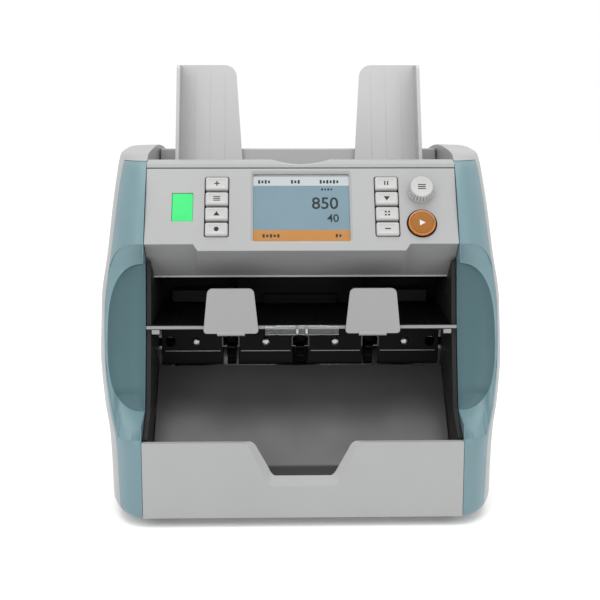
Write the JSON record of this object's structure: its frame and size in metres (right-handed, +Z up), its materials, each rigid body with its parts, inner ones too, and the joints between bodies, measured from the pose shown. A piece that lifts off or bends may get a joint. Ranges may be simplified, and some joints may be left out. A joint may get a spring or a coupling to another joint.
{
  "type": "banknote counting machine",
  "caption": "Desktop banknote counter with a top hopper and sliding guides, a tilted control face, a reject pocket with folding stops and a front stacker pocket.",
  "frame": {"origin": "on the table under the middle of the machine's box", "axes": "+X to the machine's right as its user sees it, +Y to the back, +Z up"},
  "size_m": [0.2698, 0.25, 0.2944],
  "materials": {
    "body_grey": "fine satin moulded texture",
    "trim_blue": "satin",
    "dark_plastic": "fine texture",
    "tray_grey": "satin powder coat",
    "steel": "plain",
    "bar_metal": "satin",
    "rubber": "matt",
    "key_grey": "satin",
    "stop_grey": "satin",
    "lens_green": "diffusing, lit green",
    "amber": "translucent gloss",
    "screen": "lit display",
    "clear": "polished clear",
    "board_green": "circuit board",
    "roller": "fine matt"
  },
  "bodies": {
    "chassis": {"base_pan": "steel", "foot_1": "rubber", "foot_2": "rubber", "foot_3": "rubber", "foot_4": "rubber", "front_panel": "body_grey", "stacker_tray": "tray_grey", "pocket_liner_left": "tray_grey", "pocket_liner_right": "tray_grey", "stacker_backplate": "dark_plastic", "backplate_screw_1": "steel", "backplate_screw_2": "steel", "backplate_screw_3": "steel", "backplate_screw_4": "steel", "reject_floor": "dark_plastic", "reject_bar": "bar_metal", "sensor_prism": "clear", "console_housing": "body_grey", "display_module": "screen", "display_window": "clear", "status_lens": "lens_green", "menu_encoder": "dark_plastic", "start_bezel": "dark_plastic", "hopper_lip": "body_grey", "hopper_floor": "tray_grey", "hopper_back": "body_grey", "drive_motor": "dark_plastic", "drive_belt": "rubber", "power_supply": "steel", "main_board": "board_green", "rear_panel": "body_grey", "mains_inlet": "dark_plastic", "side_cover_left": "body_grey", "side_cover_right": "body_grey", "corner_trim_left": "trim_blue", "corner_trim_right": "trim_blue", "side_frame_left": "steel", "side_frame_right": "steel"},
    "key_left_1": {"key_left_1": "key_grey"},
    "key_left_2": {"key_left_2": "key_grey"},
    "key_left_3": {"key_left_3": "key_grey"},
    "key_left_4": {"key_left_4": "key_grey"},
    "key_right_1": {"key_right_1": "key_grey"},
    "key_right_2": {"key_right_2": "key_grey"},
    "key_right_3": {"key_right_3": "key_grey"},
    "key_right_4": {"key_right_4": "key_grey"},
    "start_button": {"start_button": "amber"},
    "menu_spindle": {"menu_spindle": "steel"},
    "menu_knob": {"menu_knob": "key_grey"},
    "reject_stop_left": {"reject_stop_left": "stop_grey"},
    "reject_stop_right": {"reject_stop_right": "stop_grey"},
    "guide_left": {"guide_left": "body_grey"},
    "guide_right": {"guide_right": "body_grey"},
    "guide_pinion": {"guide_pinion": "dark_plastic"},
    "transport_drum": {"transport_drum": "roller"},
    "pickup_shaft": {"pickup_shaft": "steel"},
    "stacker_shaft": {"stacker_shaft": "roller"},
    "motor_pulley": {"motor_pulley": "steel"},
    "rear_cover": {"rear_cover": "body_grey"},
    "power_switch": {"power_switch": "dark_plastic"}
  },
  "joints": [
    {"name": "key_left_1_press", "type": "slide", "parent": "chassis", "child": "key_left_1", "axis": [0, 0.8631, -0.505], "range_m": [0, 0.0012], "stiffness_N_per_m": 800},
    {"name": "key_left_2_press", "type": "slide", "parent": "chassis", "child": "key_left_2", "axis": [0, 0.8631, -0.505], "range_m": [0, 0.0012], "stiffness_N_per_m": 800},
    {"name": "key_left_3_press", "type": "slide", "parent": "chassis", "child": "key_left_3", "axis": [0, 0.8631, -0.505], "range_m": [0, 0.0012], "stiffness_N_per_m": 800},
    {"name": "key_left_4_press", "type": "slide", "parent": "chassis", "child": "key_left_4", "axis": [0, 0.8631, -0.505], "range_m": [0, 0.0012], "stiffness_N_per_m": 800},
    {"name": "key_right_1_press", "type": "slide", "parent": "chassis", "child": "key_right_1", "axis": [0, 0.8631, -0.505], "range_m": [0, 0.0012], "stiffness_N_per_m": 800},
    {"name": "key_right_2_press", "type": "slide", "parent": "chassis", "child": "key_right_2", "axis": [0, 0.8631, -0.505], "range_m": [0, 0.0012], "stiffness_N_per_m": 800},
    {"name": "key_right_3_press", "type": "slide", "parent": "chassis", "child": "key_right_3", "axis": [0, 0.8631, -0.505], "range_m": [0, 0.0012], "stiffness_N_per_m": 800},
    {"name": "key_right_4_press", "type": "slide", "parent": "chassis", "child": "key_right_4", "axis": [0, 0.8631, -0.505], "range_m": [0, 0.0012], "stiffness_N_per_m": 800},
    {"name": "start_press", "type": "slide", "parent": "chassis", "child": "start_button", "axis": [0, 0.8631, -0.505], "range_m": [0, 0.0015], "stiffness_N_per_m": 800},
    {"name": "menu_press", "type": "slide", "parent": "chassis", "child": "menu_spindle", "axis": [0, 0.8631, -0.505], "range_m": [0, 0.0005], "stiffness_N_per_m": 2000},
    {"name": "menu_turn", "type": "hinge", "parent": "menu_spindle", "child": "menu_knob", "pos_m": [0.0786, -0.06761, 0.20928], "axis": [0, -0.8631, 0.505], "continuous": true},
    {"name": "reject_stop_left_fold", "type": "hinge", "parent": "chassis", "child": "reject_stop_left", "pos_m": [-0.0463, -0.0884, 0.1184], "axis": [1, 0, 0], "range_deg": [0, 85]},
    {"name": "reject_stop_right_fold", "type": "hinge", "parent": "chassis", "child": "reject_stop_right", "pos_m": [0.0463, -0.0884, 0.1184], "axis": [1, 0, 0], "range_deg": [0, 85]},
    {"name": "guide_left_slide", "type": "slide", "parent": "chassis", "child": "guide_left", "axis": [1, 0, 0], "range_m": [0, 0.028]},
    {"name": "guide_right_slide", "type": "slide", "parent": "chassis", "child": "guide_right", "axis": [-1, 0, 0], "range_m": [0, 0.028]},
    {"name": "guide_pinion_turn", "type": "hinge", "parent": "chassis", "child": "guide_pinion", "pos_m": [0, 0.0405, 0.219], "axis": [0, -1, 0], "range_deg": [0, 200]},
    {"name": "drum_spin", "type": "hinge", "parent": "chassis", "child": "transport_drum", "pos_m": [0, 0.053, 0.132], "axis": [1, 0, 0], "continuous": true},
    {"name": "pickup_spin", "type": "hinge", "parent": "chassis", "child": "pickup_shaft", "pos_m": [0, -0.009, 0.2022], "axis": [1, 0, 0], "continuous": true},
    {"name": "stacker_spin", "type": "hinge", "parent": "chassis", "child": "stacker_shaft", "pos_m": [0, -0.018, 0.098], "axis": [1, 0, 0], "continuous": true},
    {"name": "motor_spin", "type": "hinge", "parent": "chassis", "child": "motor_pulley", "pos_m": [-0.109, 0.08, 0.042], "axis": [1, 0, 0], "continuous": true},
    {"name": "rear_cover_open", "type": "hinge", "parent": "chassis", "child": "rear_cover", "pos_m": [0, 0.121, 0.068], "axis": [-1, 0, 0], "range_deg": [0, 75]},
    {"name": "power_rock", "type": "hinge", "parent": "chassis", "child": "power_switch", "pos_m": [0.083, 0.1235, 0.0305], "axis": [1, 0, 0], "range_deg": [0, 12]}
  ],
  "couplings": [
    {"joint": "guide_right_slide", "follows": "guide_left_slide", "ratio": 1},
    {"joint": "guide_pinion_turn", "follows": "guide_left_slide", "rad_per_m": 121.95},
    {"joint": "pickup_spin", "follows": "drum_spin", "ratio": 3.19},
    {"joint": "stacker_spin", "follows": "drum_spin", "ratio": -0.4},
    {"joint": "motor_spin", "follows": "drum_spin", "ratio": 2}
  ]
}
